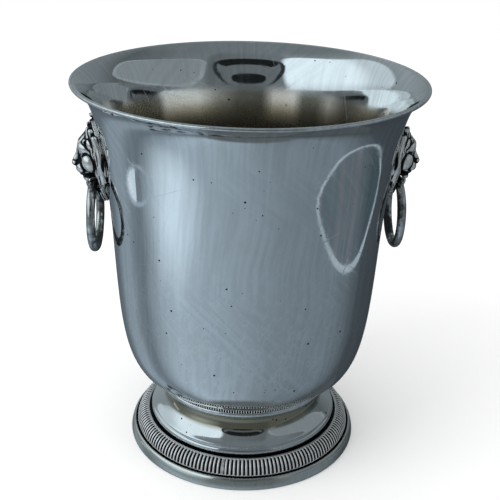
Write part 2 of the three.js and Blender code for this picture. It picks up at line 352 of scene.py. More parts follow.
    swell = tree.sum("MULTIPLY", tree.noise(place, 22.0, 1.0), 0.10 * waves * MM)
    swell = tree.sum("MULTIPLY", swell, tree.step(z, 0.222, 0.205, 0.25, 1.0))
    ripple = tree.sum("MULTIPLY", tree.noise(place, 110.0, 1.0), 0.006 * waves * MM)
    height = tree.sum("ADD", swell, ripple)
    height = tree.sum("ADD", height, tree.sum("MULTIPLY", streaks, 0.0034 * scratches * MM))
    height = tree.sum("SUBTRACT", height, tree.sum("MULTIPLY", wipes, 0.0022 * scratches * MM))
    height = tree.sum("SUBTRACT", height, tree.sum("MULTIPLY", deep, 0.010 * scratches * MM))
    height = tree.sum("SUBTRACT", height, tree.sum("MULTIPLY", pit, 0.06 * MM))
    bump = tree.add("ShaderNodeBump", {"Height": height, "Strength": 1.0, "Distance": 1.0})
    shader = tree.add("ShaderNodeBsdfPrincipled", {
        "Base Color": colour, "Metallic": metal, "Roughness": roughness, "Normal": bump.outputs[0]})
    out = tree.add("ShaderNodeOutputMaterial")
    tree.put(out.inputs["Surface"], shader.outputs[0])
    return material


def finish_piece(piece, node, body, material):
    piece.data.materials.append(material)
    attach(piece, body)
    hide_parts(node)


# ---- bowl ----------------------------------------------------------------------------------
def build_bowl():
    floor = np.array([(r, FLOOR_Z) for r in (0, 12, 24, 36, 45)], float)
    curve = catmull(BOWL_CURVE, 110)
    for _ in range(CURVE_PASSES):
        curve[1:-1] = (curve[:-2] + 2 * curve[1:-1] + curve[2:]) / 4
    outside = np.vstack([floor, curve])
    inside = sideways(outside, WALL)
    inside[0] = (0, FLOOR_Z + WALL)
    profile = np.vstack([outside, inside[::-1]])
    count = len(profile) - 2
    heights = profile[1:-1, 1]
    is_inside = np.arange(count) >= len(outside) - 1
    satin = is_inside * np.clip((SATIN_Z + 2 - heights) / 6, 0, 1)
    piece = turned("bowl", profile, 288, marks=lambda angle: {"satin": satin})
    finish_piece(piece, "bowl_shell", "bucket",
                 silver("silver_bowl", rough=0.035, scratches=0.55, satin=True, tarnish=0.18, waves=0.25))


def build_rim():
    piece = turned("rim", arc((RIM_R, RIM_Z), RIM_WIRE, 0, 360, 20)[:-1], 288)
    finish_piece(piece, "rim_wire", "bucket",
                 silver("silver_rim", rough=0.12, waves=0.3, radius=102))


# ---- foot ----------------------------------------------------------------------------------
def build_collar():
    outline = np.vstack([
        [(52.4, 43.5)],
        arc((55.4, 44.4), 0.9, -90, 0, 4),
        arc((55.4, 46.5), 0.9, 0, 90, 4),
        [(52.4, 47.45)],
    ])
    reach = np.clip((outline[:, 0] - 54.6) / 1.2, 0, 1)
    depth = 0.9

    def groove(angle):
        return min(1.0, 1.15 * abs(math.cos(angle * COLLAR_TEETH / 2)) ** 3)

    # the mark blackens the gaps between the teeth: oxide and painted shade
    piece = turned(
        "collar", outline, COLLAR_TEETH * 8,
        press=lambda angle: reach * depth * (groove(angle) - 1),
        marks=lambda angle: {"oxide_and_shade": reach * (1 - groove(angle)) * 1.8})
    finish_piece(piece, "foot_collar", "bucket",
                 silver("silver_collar", rough=0.3, scratches=0.3, waves=0.2, pits=0.0, oxide_and_shade=1.0,
                        radius=56, metal=0.64, mottled=0.05))


def build_neck_ring():
    outline = rounded([(52.4, 40.5), (56.1, 40.5), (56.5, 42.0), (56.1, 43.5), (52.4, 43.5)], 0.9)
    piece = turned("neck_bead", outline, 240)
    finish_piece(piece, "neck_ring", "bucket",
                 silver("silver_neck_bead", rough=0.1, waves=0.4, radius=56))


def build_foot():
    neck = catmull([(55.4, 40.6), (52.6, 39.4), (50.6, 37.2), (49.6, 33.6), (51.1, 28.2), (54.4, 23.5),
                    (57.6, 20.6)], 44)
    step = catmull([(57.9, 20.2), (58.9, 19.7), (59.8, 18.9), (60.2, 17.6), (60.1, 16.2), (59.8, 15.0),
                    (59.8, 13.9)], 22)
    slope = catmull([(60.3, 13.6), (62.4, 13.4), (65.4, 10.2), (68.2, 6.6), (68.6, 5.4), (68.6, 0.5)], 24)
    outside = np.vstack([neck, step, slope])
    inside = sideways(outside, -1.3)
    inside[0] = (51.4, 40.6)
    outline = np.vstack([inside, outside[::-1]])
    oxide_and_shade = np.zeros(len(outline))
    heights, radii = outline[:, 1], outline[:, 0]
    # black in the groove under the step and under the neck bead: partly oxide, partly painted shade
    oxide_and_shade[(radii > 59.4) & (heights < 15.6)] = 1.0
    oxide_and_shade[heights > 39.0] = 0.8
    piece = turned("foot", outline, 256, marks=lambda angle: {"oxide_and_shade": oxide_and_shade})
    finish_piece(piece, "foot_shell", "bucket",
                 silver("silver_foot", clean=(0.79, 0.79, 0.78, 1), rough=0.05, scratches=0.6,
                        tarnish=0.2, waves=0.8, oxide_and_shade=1.0, radius=58, warm=(0.026, 0.040)))


def build_fillet():
    outline = arc((62.45, 14.75), 0.95, 0, 360, 14)[:-1]
    # the wire's underside is blackened: painted shade under the wire, with oxide
    oxide_and_shade = np.clip((14.9 - outline[:, 1]) / 0.6, 0, 1)
    piece = turned("fillet", outline, 240, marks=lambda angle: {"oxide_and_shade": oxide_and_shade})
    finish_piece(piece, "fillet_wire", "bucket",
                 silver("silver_fillet", rough=0.18, waves=0.5, oxide_and_shade=1.0, radius=62))


def build_gadroons():
    face = catmull([(69.5, 7.7), (69.2, 9.6), (67.8, 12.6), (65.4, 14.9), (63.2, 15.7)], 20)
    back = np.array([(63.0, 14.2), (63.6, 12.9), (68.5, 6.9)])
    outline = np.vstack([face, back])
    share = np.linspace(0, 1, len(face))
    reach = np.concatenate([np.clip(np.minimum(share, 1 - share) * 9, 0, 1) ** 0.6, np.zeros(len(back))])
    depth = 1.15

    def rib(angle):
        turns = angle * GADROONS / (2 * math.pi)
        away = abs((angle - GADROON_SEAM + math.pi) % (2 * math.pi) - math.pi) * GADROONS / (2 * math.pi)
        if away < 0.4:
            return 0.8
        across = abs((turns + 0.5) % 1.0 - 0.5) / GADROON_HALF
        return math.sqrt(max(0.0, 1.0 - across * across))

    # the mark blackens the gaps between the ribs: oxide and painted shade
    piece = turned(
        "gadroons", outline, GADROONS * 10,
        press=lambda angle: reach * depth * (rib(angle) - 1),
        marks=lambda angle: {"oxide_and_shade": np.clip(reach * (1 - rib(angle)) * 2.5, 0, 1)})
    finish_piece(piece, "gadroon_band", "bucket",
                 silver("silver_gadroons", rough=0.28, scratches=0.2, waves=0.2, pits=0.0, oxide_and_shade=1.0,
                        radius=67, metal=0.75, mottled=0.12))


def build_base():
    wall = catmull([(73.4, 0.3), (73.6, 1.2), (73.35, 2.8), (72.9, 4.6), (72.35, 6.0)], 14)
    crown = catmull([(72.1, 6.4), (71.75, 6.9), (71.2, 7.25), (70.6, 7.0), (70.2, 6.4)], 12)
    outline = np.vstack([[(69.2, 0.05), (72.9, 0.0)], wall, crown, [(69.6, 6.1), (68.95, 6.0)]])
    # black on the inner edge of the crown, in the groove beside the gadroons: oxide and painted shade
    oxide_and_shade = np.where((outline[:, 0] < 70.8) & (outline[:, 1] > 5), 1.0, 0.0)
    piece = turned("base", outline, 256, marks=lambda angle: {"oxide_and_shade": oxide_and_shade})
    finish_piece(piece, "base_ring", "bucket",
                 silver("silver_base", clean=(0.72, 0.71, 0.63, 1), rough=0.16, scratches=0.8,
                        oxide_and_shade=1.0, radius=73))


# ---- lion mask -----------------------------------------------------------------------------
VOXEL = 0.34
MASK_LOW = np.array([80.0, -22.5, 158.5])
MASK_HIGH = np.array([107.5, 22.5, 217.0])
MASK_MIDDLE = 187.0
# the black that hollowness turns into is partly oxide and partly painted shade
MASK_BRIGHT, MASK_DARK = 22, 57  # percentiles of hollowness that stay bright and go black


def wall_radius(z):
    curve = catmull(BOWL_CURVE, 300)
    return np.interp(z, curve[:, 1], curve[:, 0])


def smooth_join(a, b, k):
    h = np.clip(0.5 + 0.5 * (b - a) / k, 0, 1)
    return b + (a - b) * h - k * h * (1 - h)


def smooth_cut(a, b, k):
    """a with b taken away."""
    return -smooth_join(-a, b, k)


class Relief:
    """A solid held as signed distances on a grid: p stands out from the wall, y across, z up."""

    def __init__(self):
        counts = np.ceil((MASK_HIGH - MASK_LOW) / VOXEL).astype(int) + 1
        axes = [MASK_LOW[i] + VOXEL * np.arange(counts[i]) for i in range(3)]
        self.x, self.y, self.z = (a.astype(np.float32) for a in np.meshgrid(*axes, indexing="ij"))
        self.side = np.abs(self.y)
        self.p = self.x - np.sqrt(wall_radius(self.z) ** 2 - self.y ** 2).astype(np.float32)
        self.field = np.full(self.x.shape, 20.0, np.float32)

    def near(self, centre, reach):
        """The block of the grid round a point on the +Y side, as a slice on each axis."""
        wall = float(wall_radius(centre[2]))
        middle = np.array([math.sqrt(wall ** 2 - centre[1] ** 2) + centre[0], 0, centre[2]])
        low = ((middle - reach - MASK_LOW) / VOXEL).astype(int) - 2
        high = ((middle + reach - MASK_LOW) / VOXEL).astype(int) + 3
        return (slice(max(low[0], 0), max(high[0], 0)), slice(None), slice(max(low[2], 0), max(high[2], 0)))

    def ball(self, block, centre, radii, turn=0.0):
        """turn tips the ball in the plane of the mask, outward at its top."""
        p, y, z = self.p[block] - centre[0], self.side[block] - centre[1], self.z[block] - centre[2]
        c, s = math.cos(turn), math.sin(turn)
        y, z = y * c - z * s, y * s + z * c
        a, b, d = p / radii[0], y / radii[1], z / radii[2]
        k0 = np.sqrt(a * a + b * b + d * d) + 1e-6
        k1 = np.sqrt((a / radii[0]) ** 2 + (b / radii[1]) ** 2 + (d / radii[2]) ** 2) + 1e-6
        return k0 * (k0 - 1) / k1

    def rod(self, block, start, end, r0, r1):
        start, end = np.array(start, np.float32), np.array(end, np.float32)
        axis = end - start
        p, y, z = self.p[block] - start[0], self.side[block] - start[1], self.z[block] - start[2]
        t = np.clip((p * axis[0] + y * axis[1] + z * axis[2]) / float(axis @ axis), 0, 1)
        away = np.sqrt((p - t * axis[0]) ** 2 + (y - t * axis[1]) ** 2 + (z - t * axis[2]) ** 2)
        return away - (r0 + (r1 - r0) * t)

    def add(self, centre, radii, k=1.0, turn=0.0):
        block = self.near(centre, max(radii) + 3 + k)
        self.field[block] = smooth_join(self.field[block], self.ball(block, centre, radii, turn), k)

    def cut(self, centre, radii, k=0.6, turn=0.0):
        block = self.near(centre, max(radii) + 3 + k)
        self.field[block] = smooth_cut(self.field[block], self.ball(block, centre, radii, turn), k)

    def strand(self, points, r0, r1, k=0.25, cut=False):
        """A tapering lock of hair, or a groove, along a smooth run of points."""
        run = catmull(points, 3 * (len(points) - 1))
        radii = np.linspace(r0, r1, len(run))
        middle = run.mean(0)
        block = self.near(middle, np.abs(run - middle).max() + r0 + 2)
        found = None
        for i in range(len(run) - 1):
            piece = self.rod(block, run[i], run[i + 1], radii[i], radii[i + 1])
            found = piece if found is None else np.minimum(found, piece)
        joiner = smooth_cut if cut else smooth_join
        self.field[block] = joiner(self.field[block], found, k)


def surface(field):
    """The field's zero surface as quads, one point in each cell that the surface crosses."""
    inside = field < 0
    total = sum(
        inside[i:field.shape[0] - 1 + i, j:field.shape[1] - 1 + j, k:field.shape[2] - 1 + k].astype(np.int8)
        for i in (0, 1) for j in (0, 1) for k in (0, 1))
    cells = (total > 0) & (total < 8)
    index = np.full(cells.shape, -1, np.int64)
    where = np.argwhere(cells)
    index[cells] = np.arange(len(where))
    position = np.zeros((len(where), 3))
    weight = np.zeros(len(where))
    corners = np.array([(i, j, k) for i in (0, 1) for j in (0, 1) for k in (0, 1)])
    for a in range(8):
        for b in range(a + 1, 8):
            if np.abs(corners[a] - corners[b]).sum() != 1:
                continue
            fa = field[tuple((where + corners[a]).T)]
            fb = field[tuple((where + corners[b]).T)]
            crossed = (fa < 0) != (fb < 0)
            t = np.where(crossed, fa / np.where(crossed, fa - fb, 1), 0)[:, None]
            position += np.where(crossed[:, None], corners[a] * (1 - t) + corners[b] * t, 0)
            weight += crossed
    position = where + position / weight[:, None]
    faces = []
    for axis in range(3):
        u, v = (axis + 1) % 3, (axis + 2) % 3
        step = np.eye(3, dtype=int)[axis]
        ahead = tuple(slice(1, None) if n == axis else slice(1, -1) for n in range(3))
        back = tuple(slice(0, -1) if n == axis else slice(1, -1) for n in range(3))
        low, high = inside[back], inside[ahead]
        for sign in (True, False):
            found = np.argwhere((low == sign) & (high != sign))
            base = found + (np.array([1, 1, 1]) - step)
            du, dv = np.eye(3, dtype=int)[u], np.eye(3, dtype=int)[v]
            quad = [index[tuple((base - a * du - b * dv).T)] for a, b in ((0, 0), (1, 0), (1, 1), (0, 1))]
            quad = np.stack(quad if sign else quad[::-1], 1)
            faces.append(quad)
    return position, np.concatenate(faces)


def mane_width(z):
    """Half the width of the mask at a height: widest at the cheeks, a point at the bottom."""
    up = np.asarray(z, float) - MASK_MIDDLE
    above = 18.4 * np.clip(1 - np.abs(up / 25.5) ** 2.4, 0, 1) ** 0.62 + 0.5
    below = 18.6 * np.clip(1 - np.abs(up / 26.5) ** 1.7, 0, 1) ** 0.85
    return np.where(up > 0, above, below)


def add_mane(r):
    """Four rows of long wavy locks on each side, from the outer edge in to the cheeks."""
    rng = np.random.default_rng(5)
    even_row, odd_row = ((203.0, 178.0), (187.0, 162.5)), ((206.0, 184.0), (194.0, 171.0), (181.0, 162.0))
    for row in range(4):
        inward = 0.95 - 0.155 * row
        for top, bottom in odd_row if row % 2 else even_row:
            heights = np.linspace(top, bottom, 6)
            phase = rng.uniform(0, 2 * math.pi)
            share = np.linspace(0, 1, 6)
            across = mane_width(heights) * (inward + 0.05 * share) + 0.75 * np.sin(heights / 2.1 + phase)
            out = 2.5 + 0.95 * row + 1.2 * np.sin(math.pi * share) * 0.6 - 0.9 * share
            out = out + 0.5 * np.sin(heights / 2.6 + phase)
            r.strand(list(zip(out, np.maximum(across, 0.6), heights)), 1.75, 0.75, 0.15)


def add_head(r):
    # skull, forehead, brows, bridge and nose
    r.add((3.0, 0, 190.5), (10.6, 12.2, 13.4), 1.0)
    r.strand([(9.4, 3.0, 195.6), (6.4, 2.8, 199.2), (2.8, 2.4, 202.8)], 4.5, 3.4, 1.0)
    r.add((8.3, 5.5, 195.2), (5.2, 4.8, 4.2), 0.5, 0.35)
    r.add((6.8, 7.6, 199.0), (3.4, 2.6, 2.6), 0.3, 0.3)
    r.strand([(11.2, 0, 196.6), (12.6, 0, 193.3), (13.9, 0, 189.7), (16.0, 0, 186.6)], 2.3, 2.1, 1.0)
    r.add((16.8, 0, 184.9), (2.2, 3.2, 2.1), 0.5)
    # cheeks, muzzle, lips and chin
    r.add((11.3, 3.3, 182.3), (5.6, 3.9, 3.6), 0.9)
    r.add((11.2, 0, 184.0), (5.6, 4.0, 4.4), 0.9)
    r.add((12.3, 0, 178.3), (3.2, 3.4, 1.5), 0.5)
    r.add((9.2, 1.8, 175.9), (4.4, 3.2, 2.8), 0.8)
    # hollows: eye sockets, below the cheeks, beside the jaw, between brow and forehead
    r.cut((13.4, 5.0, 190.6), (3.6, 2.9, 2.2), 0.6, 0.3)
    r.strand([(14.6, 4.3, 190.2), (12.8, 6.4, 186.0), (10.2, 7.6, 181.4)], 1.5, 1.5, 0.6, cut=True)
    r.cut((8.6, 8.8, 179.0), (6.4, 3.6, 4.4), 0.8)
    r.strand([(14.6, 0, 200.6), (15.3, 0, 196.4), (15.2, 0, 194.0)], 1.1, 0.5, 0.5, cut=True)
    r.strand([(12.8, 3.6, 200.0), (14.4, 2.4, 196.6)], 0.7, 0.4, 0.3, cut=True)
    r.strand([(10.4, 5.4, 201.6), (11.2, 7.6, 200.2), (9.8, 9.8, 197.4)], 0.65, 0.45, 0.3, cut=True)
    # cheek balls, eyes and lids stand clear of the hollows
    r.add((7.6, 9.3, 187.3), (4.9, 4.3, 5.5), 0.2, -0.08)
    r.add((10.9, 5.3, 190.9), (1.9, 1.8, 1.6), 0.1)
    r.strand([(12.6, 3.2, 191.2), (12.9, 5.2, 192.7), (11.2, 7.6, 191.9)], 0.62, 0.45, 0.2)
    r.strand([(12.4, 3.2, 190.3), (12.2, 5.2, 189.1), (10.8, 7.4, 190.2)], 0.5, 0.4, 0.2)
    r.cut((12.9, 5.2, 191.0), (0.8, 0.5, 0.5), 0.15)
    # nostrils, lip line, mouth and whisker rows
    r.cut((18.5, 1.6, 184.6), (1.3, 0.8, 0.65), 0.25, 0.5)
    r.strand([(18.8, 0, 184.0), (17.8, 0, 181.8), (16.2, 0, 179.8)], 0.45, 0.5, 0.25, cut=True)
    r.strand([(16.2, 0, 180.0), (15.2, 3.4, 179.3), (12.4, 5.8, 180.6)], 0.75, 0.6, 0.3, cut=True)
    for row, height in enumerate((183.6, 182.1, 180.9)):
        for spot in range(3):
            centre = (16.6 - 0.8 * spot - 0.2 * row, 2.3 + 1.4 * spot, height - 0.15 * spot)
            r.cut(centre, (0.9, 0.4, 0.4), 0.12)
    # ears, half hidden by the mane
    r.add((5.8, 10.4, 198.6), (2.6, 2.7, 3.3), 0.3, -0.5)
    r.cut((8.2, 10.2, 198.7), (1.6, 1.4, 2.0), 0.3, -0.5)


def add_finial(r):
    """Tufts that run back from the brow, and two balls between leaves above them."""
    r.strand([(8.6, 0, 201.0), (5.6, 0, 204.0), (2.4, 0, 206.6)], 1.5, 1.3, 0.3)
    r.strand([(8.2, 3.2, 200.8), (5.4, 3.0, 203.8), (2.4, 2.2, 206.8)], 1.2, 0.8, 0.2)
    r.strand([(7.4, 5.8, 200.8), (4.8, 5.8, 203.4), (2.2, 4.8, 206.2)], 1.2, 0.8, 0.2)
    r.add((2.0, 0, 208.8), (2.1, 2.1, 2.1), 0.2)
    r.strand([(1.2, 0, 210.6), (1.0, 0, 212.0)], 0.8, 0.8, 0.1)
    r.add((1.6, 0, 213.2), (1.4, 1.4, 1.3), 0.2)
    r.strand([(1.8, 2.8, 206.2), (1.5, 4.2, 208.2), (1.0, 3.8, 210.4)], 1.0, 0.5, 0.15)


def clear_of_ring(r):
    """Leaves nothing inside the wall, round the staple, or where the ring swings."""
    r.field = np.maximum(r.field, 0.15 - r.p)
    out, down = r.x - RING_X, PIVOT_Z - r.z
    spoke = np.hypot(out, down)
    loop = np.hypot(r.y, spoke - RING_RADIUS)
    swept = np.maximum(loop - (RING_RADIUS + RING_WIRE + 0.7), (RING_RADIUS - RING_WIRE - 0.7) - loop)
    angle = np.arctan2(out, down)
    above = (angle - math.radians(113)) * spoke
    behind = (math.radians(-13) - angle) * spoke - RING_WIRE - 0.6 - 0.09 * r.side
    swept = np.maximum(swept, np.where(spoke < 3.6, -1.0, np.maximum(above, behind)))
    slot = np.maximum(np.maximum(np.hypot(out, np.minimum(down, 0)) - 4.75, r.side - 3.5), 3.2 - r.p)
    r.field = np.maximum(r.field, -np.minimum(swept, slot).astype(np.float32))


def lion_field():
    r = Relief()
    up = r.z - MASK_MIDDLE
    plate = np.maximum(np.maximum(r.side - mane_width(r.z), r.p - 2.1), 0.15 - r.p)
    r.field = np.maximum(plate, np.maximum(up - 24.0, -up - 25.5)).astype(np.float32)
    add_mane(r)
    add_head(r)
    add_finial(r)
    clear_of_ring(r)
    return r


def hollowness(field, position, faces):
    """How shut in each point of a surface is, from 0 on a high point to 1 deep in a hollow."""
    gradient = np.stack(np.gradient(field), -1)

    def sample(grid, at):
        at = np.clip(at, 0, np.array(field.shape) - 1.001)
        base = at.astype(int)
        f = at - base
        out = 0
        for i in (0, 1):
            for j in (0, 1):
                for k in (0, 1):
                    w = np.abs(1 - i - f[:, 0]) * np.abs(1 - j - f[:, 1]) * np.abs(1 - k - f[:, 2])
                    value = grid[base[:, 0] + i, base[:, 1] + j, base[:, 2] + k]
                    out = out + (w[:, None] if value.ndim > 1 else w) * value
        return out

    normal = sample(gradient, position)
    normal /= np.linalg.norm(normal, axis=1)[:, None] + 1e-9
    shut = np.zeros(len(position))
    for distance, weight in ((0.6, 0.30), (1.2, 0.30), (2.4, 0.25), (4.2, 0.15)):
        free = sample(field, position + normal * distance / VOXEL) / distance
        shut += weight * np.clip(1 - free, 0, 1.2)
    return shut


def build_masks():
    r = lion_field()
    position, faces = surface(r.field)
    shut = hollowness(r.field, position, faces)
    points = MASK_LOW + position * VOXEL
    # black in the hollows of the masks: partly oxide, partly painted shade
    bright, dark = np.percentile(shut, (MASK_BRIGHT, MASK_DARK))
    shut = np.clip((shut - bright) / (dark - bright), 0, 1)
    proud = np.hypot(points[:, 0], points[:, 1]) - wall_radius(points[:, 2])
    # a painted shadow under the chin and cheeks, added to the black of the hollows
    painted_shadow_under_chin = np.clip((183 - points[:, 2]) / 5, 0, 1)
    painted_shadow_under_chin *= np.clip((13 - proud) / 5, 0, 1) * np.clip((proud - 4) / 3, 0, 1)
    shut = np.clip(shut + 0.7 * painted_shadow_under_chin, 0, 1)
    material = silver("silver_mask", clean=(0.92, 0.91, 0.88, 1), rough=0.2, scratches=0.6, tarnish=0.3,
                      waves=0.6, pits=0.0, oxide_and_shade=1.0, radius=88, metal=0.89, mottled=0.07)
    quads = [tuple(quad) for quad in faces.tolist()]
    for side, sign in (("right", 1), ("left", -1)):
        turned_points = points * np.array([sign, sign, 1])
        piece = make_object(f"mask_{side}", turned_points, quads, {"oxide_and_shade": shut})
        largest_only(piece)
        finish_piece(piece, f"lion_mask_{side}", "bucket", material)


def largest_only(piece):
    """Deletes loose crumbs, keeping the largest connected part of a mesh."""
    bm = bmesh.new()
    bm.from_mesh(piece.data)
    seen, groups = set(), []
    for start in bm.verts:
        if start in seen:
            continue
        stack, group = [start], []
        seen.add(start)
        while stack:
            v = stack.pop()
            group.append(v)
            for edge in v.link_edges:
                other = edge.other_vert(v)
                if other not in seen:
                    seen.add(other)
                    stack.append(other)
        groups.append(group)
    groups.sort(key=len)
    for group in groups[:-1]:
        bmesh.ops.delete(bm, geom=group, context="VERTS")
    bm.to_mesh(piece.data)
    bm.free()


# ---- rings and staples ---------------------------------------------------------------------
def build_rings():
    """Each ring hangs a few degrees askew in its eye, as a loose ring does."""
    rng = np.random.default_rng(7)
    material = silver("silver_ring", clean=(0.50, 0.50, 0.46, 1), rough=0.15, scratches=1.2, tarnish=0.6,
                      waves=1.2, pits=1.0, oxide_and_shade=0.9, radius=20)
    lines, sides = 160, 28
    for side, sign, hang in (("right", 1, 2.0), ("left", -1, 4.5)):
        phases = rng.uniform(0, 2 * math.pi, 4)
        cos_hang, sin_hang = math.cos(math.radians(hang)), math.sin(math.radians(hang))
        vertices, oxide_and_shade, faces = [], [], []
        for line in range(lines):
            around = 2 * math.pi * line / lines
            swell = sum(0.05 * math.sin((n + 2) * around + phases[n]) for n in range(4))
            for i in range(sides):
                turn = 2 * math.pi * i / sides
                wire = RING_WIRE - 0.06 + 0.5 * swell
                reach = RING_RADIUS + wire * math.cos(turn)
                out, across = wire * math.sin(turn), reach * math.sin(around)
                out, across = out * cos_hang + across * sin_hang, across * cos_hang - out * sin_hang
                vertices.append((sign * (RING_X + out), sign * across,
                                 PIVOT_Z - RING_RADIUS + reach * math.cos(around)))
                # the inner and back faces of the wire are blackened with painted shade, and the patches
                # where the wire swells with oxide
                inner = 0.5 - 0.5 * math.cos(turn)
                behind = 0.5 - 0.5 * math.sin(turn)
                oxide_and_shade.append(0.22 + 0.30 * inner + 0.38 * behind ** 2 + 1.5 * swell)
                here, there = line * sides, ((line + 1) % lines) * sides
                j = (i + 1) % sides
                faces.append((here + i, here + j, there + j, there + i))
        piece = make_object(f"drop_ring_{side}", vertices, faces, {"oxide_and_shade": oxide_and_shade})
        finish_piece(piece, f"ring_{side}", f"ring_{side}", material)


def build_staples():
    material = silver("silver_staple", clean=(0.6, 0.59, 0.56, 1), rough=0.3, tarnish=0.6, waves=0.4,
                      radius=88)
    for side in ("right", "left"):
        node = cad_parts[f"ring_staple_{side}"]
        node.data.materials.clear()
        node.data.materials.append(material)


# ---- room ----------------------------------------------------------------------------------
# Sizes and places of what the silver mirrors are in millimetres. Directions are in degrees, as
# across (0 towards -Y, 90 towards +X) and up.
COOL = (0.79, 1.0, 1.18)
PALE = (0.84, 1.0, 1.09)
LOW_ROOM = (
    (-180, 0.085), (-150, 0.17), (-138, 0.32), (-124, 0.33), (-113, 0.22), (-104, 0.20), (-92, 0.32),
    (-80, 0.44), (-66, 0.48), (-50, 0.43), (-30, 0.385), (0, 0.305), (20, 0.25), (60, 0.21), (76, 0.21),
    (95, 0.15), (112, 0.075), (150, 0.055), (180, 0.085),
)
HIGH_ROOM = (
    (-180, 0.26), (-157, 0.34), (-140, 0.30), (-40, 0.27), (-34, 0.18), (28, 0.14), (34, 0.20),
    (60, 0.20), (100, 0.14), (118, 0.12), (140, 0.20), (168, 0.24), (180, 0.25),
)
CURTAIN_NEAR, CURTAIN_FAR = (196, -253, 46), (1110, 618, -372)
LEDGE_NEAR, LEDGE_FAR = (-240, -89, 81), (-660, 283, -148)
PAPER_START = 0.36  # where the lit paper begins along the ledge
GLOW_AT, GLOW_HALF = (-284, -163, 22), (250, 88)
FLOOR_REACH = 4000


def shade(value):
    return (*(value * t for t in PALE), 1)


def mirrored_room(tree, across, up):
    """The colour of the room in each direction, as the silver mirrors it."""
    share = tree.step(across, -180, 180)
    share.node.interpolation_type = "LINEAR"

    def stops(tint, pairs):
        return [((degrees + 180) / 360, (*(value * t for t in tint), 1)) for degrees, value in pairs]

    low = tree.ramp(share, stops(COOL, LOW_ROOM))
    high = tree.ramp(share, stops(PALE, HIGH_ROOM))
    env = tree.blend(tree.step(up, -21, -11), low, high)
    ceiling = tree.blend(tree.step(tree.sum("ABSOLUTE", across), 125, 160), shade(0.19), shade(0.30))
    env = tree.blend(tree.step(up, 48, 64), env, ceiling)
    env = tree.blend(tree.step(up, -70, -78), env, shade(0.13))

    def spread(value, centre, half, power):
        """1 at half a pane's width from its centre, and less inside it."""
        away = tree.sum("DIVIDE", tree.sum("SUBTRACT", value, centre), half)
        return tree.sum("POWER", tree.sum("ABSOLUTE", away), power)

    def pane(env, centre, half, fill, outline=None, edge=0.06, power=5.0):
        """A rounded pane of light or shade, with an optional line just inside its edge."""
        wide, tall = spread(across, centre[0], half[0], power), spread(up, centre[1], half[1], power)
        reach = tree.sum("ADD", wide, tall)
        env = tree.blend(tree.step(reach, 1 + edge, 1 - edge), env, fill)
        if outline:
            line = tree.sum("MULTIPLY", tree.step(reach, 0.72, 0.82), tree.step(reach, 1.1, 1.0))
            env = tree.blend(line, env, outline)
        return env

    # tall window to the left, paler window to the right, and the dark shape between them
    window = tree.blend(tree.step(across, -118, -92), shade(0.66), shade(1.0))
    window = tree.blend(tree.step(up, 3, 14), shade(0.45), window)
    env = pane(env, (-86, 27), (54, 23), window, edge=0.2, power=4.0)
    env = pane(env, (76, 24), (44, 16), shade(0.27), shade(0.33), edge=0.15, power=3.6)
    env = pane(env, (-4, 24.5), (29, 15), shade(0.16), shade(0.03), power=2.5)
    env = pane(env, (-3, 30), (25, 9), shade(0.012), power=2.0)
    env = pane(env, (-4, 18), (23, 9), shade(0.15), power=2.2)
    env = pane(env, (-4, 14.5), (14, 3), shade(0.012), power=2.4)

    # dark ground close to the foot, broken by bright gaps
    flat = tree.add("ShaderNodeCombineXYZ", {"X": across, "Y": tree.sum("MULTIPLY", up, 2.5), "Z": 0.0})
    ground = tree.noise(flat.outputs[0], 0.09, 3.0)
    broken = tree.sum("MULTIPLY", tree.step(ground, 0.50, 0.56), tree.step(up, -51, -55))
    broken = tree.sum("MULTIPLY", broken, tree.step(across, -110, -125))
    env = tree.blend(broken, env, shade(0.03))
    under_rim = tree.sum("MULTIPLY", tree.step(up, -43, -47), tree.step(across, 100, 125))
    return tree.blend(under_rim, env, shade(0.09))


def build_world():
    world = bpy.data.worlds.new("studio")
    bpy.context.scene.world = world
    tree = Tree(world)
    direction = tree.add("ShaderNodeTexCoord").outputs["Generated"]
    x, y, z = tree.add("ShaderNodeSeparateXYZ", {"Vector": direction}).outputs
    across = tree.sum("MULTIPLY", tree.sum("ARCTAN2", x, tree.sum("MULTIPLY", y, -1.0)), 180 / math.pi)
    up = tree.sum("MULTIPLY", tree.sum("ARCSINE", z), 180 / math.pi)
    env = mirrored_room(tree, across, up)

    path = tree.add("ShaderNodeLightPath")
    # the daylight on dull surfaces comes more from the left; the backdrop stays white
    daylight = tree.blend(tree.step(x, 0.7, -0.7), (0.78, 0.78, 0.79, 1), (1.22, 1.22, 1.21, 1))
    shown = tree.blend(path.outputs["Is Camera Ray"], daylight, (1.0, 1.0, 1.0, 1))
    shown = tree.blend(path.outputs["Is Glossy Ray"], shown, env)
    background = tree.add("ShaderNodeBackground", {"Color": shown, "Strength": 1.0})
    out = tree.add("ShaderNodeOutputWorld")
    tree.put(out.inputs["Surface"], background.outputs[0])


def build_floor():
    corners = [(x * FLOOR_REACH, y * FLOOR_REACH, 0) for x, y in ((-1, -1), (1, -1), (1, 1), (-1, 1))]
    floor = make_object("floor", corners, [(0, 1, 2, 3)])
    material = bpy.data.materials.new("pale_floor")
    tree = Tree(material)
    pale = tree.add("ShaderNodeBsdfDiffuse", {"Color": (0.97, 0.97, 0.97, 1)})
    clear = tree.add("ShaderNodeBsdfTransparent")
    path = tree.add("ShaderNodeLightPath")
    mixed = tree.add("ShaderNodeMixShader")
    tree.put(mixed.inputs[0], path.outputs["Is Glossy Ray"])
    tree.put(mixed.inputs[1], pale.outputs[0])
    tree.put(mixed.inputs[2], clear.outputs[0])
    out = tree.add("ShaderNodeOutputMaterial")
    tree.put(out.inputs["Surface"], mixed.outputs[0])
    floor.data.materials.append(material)


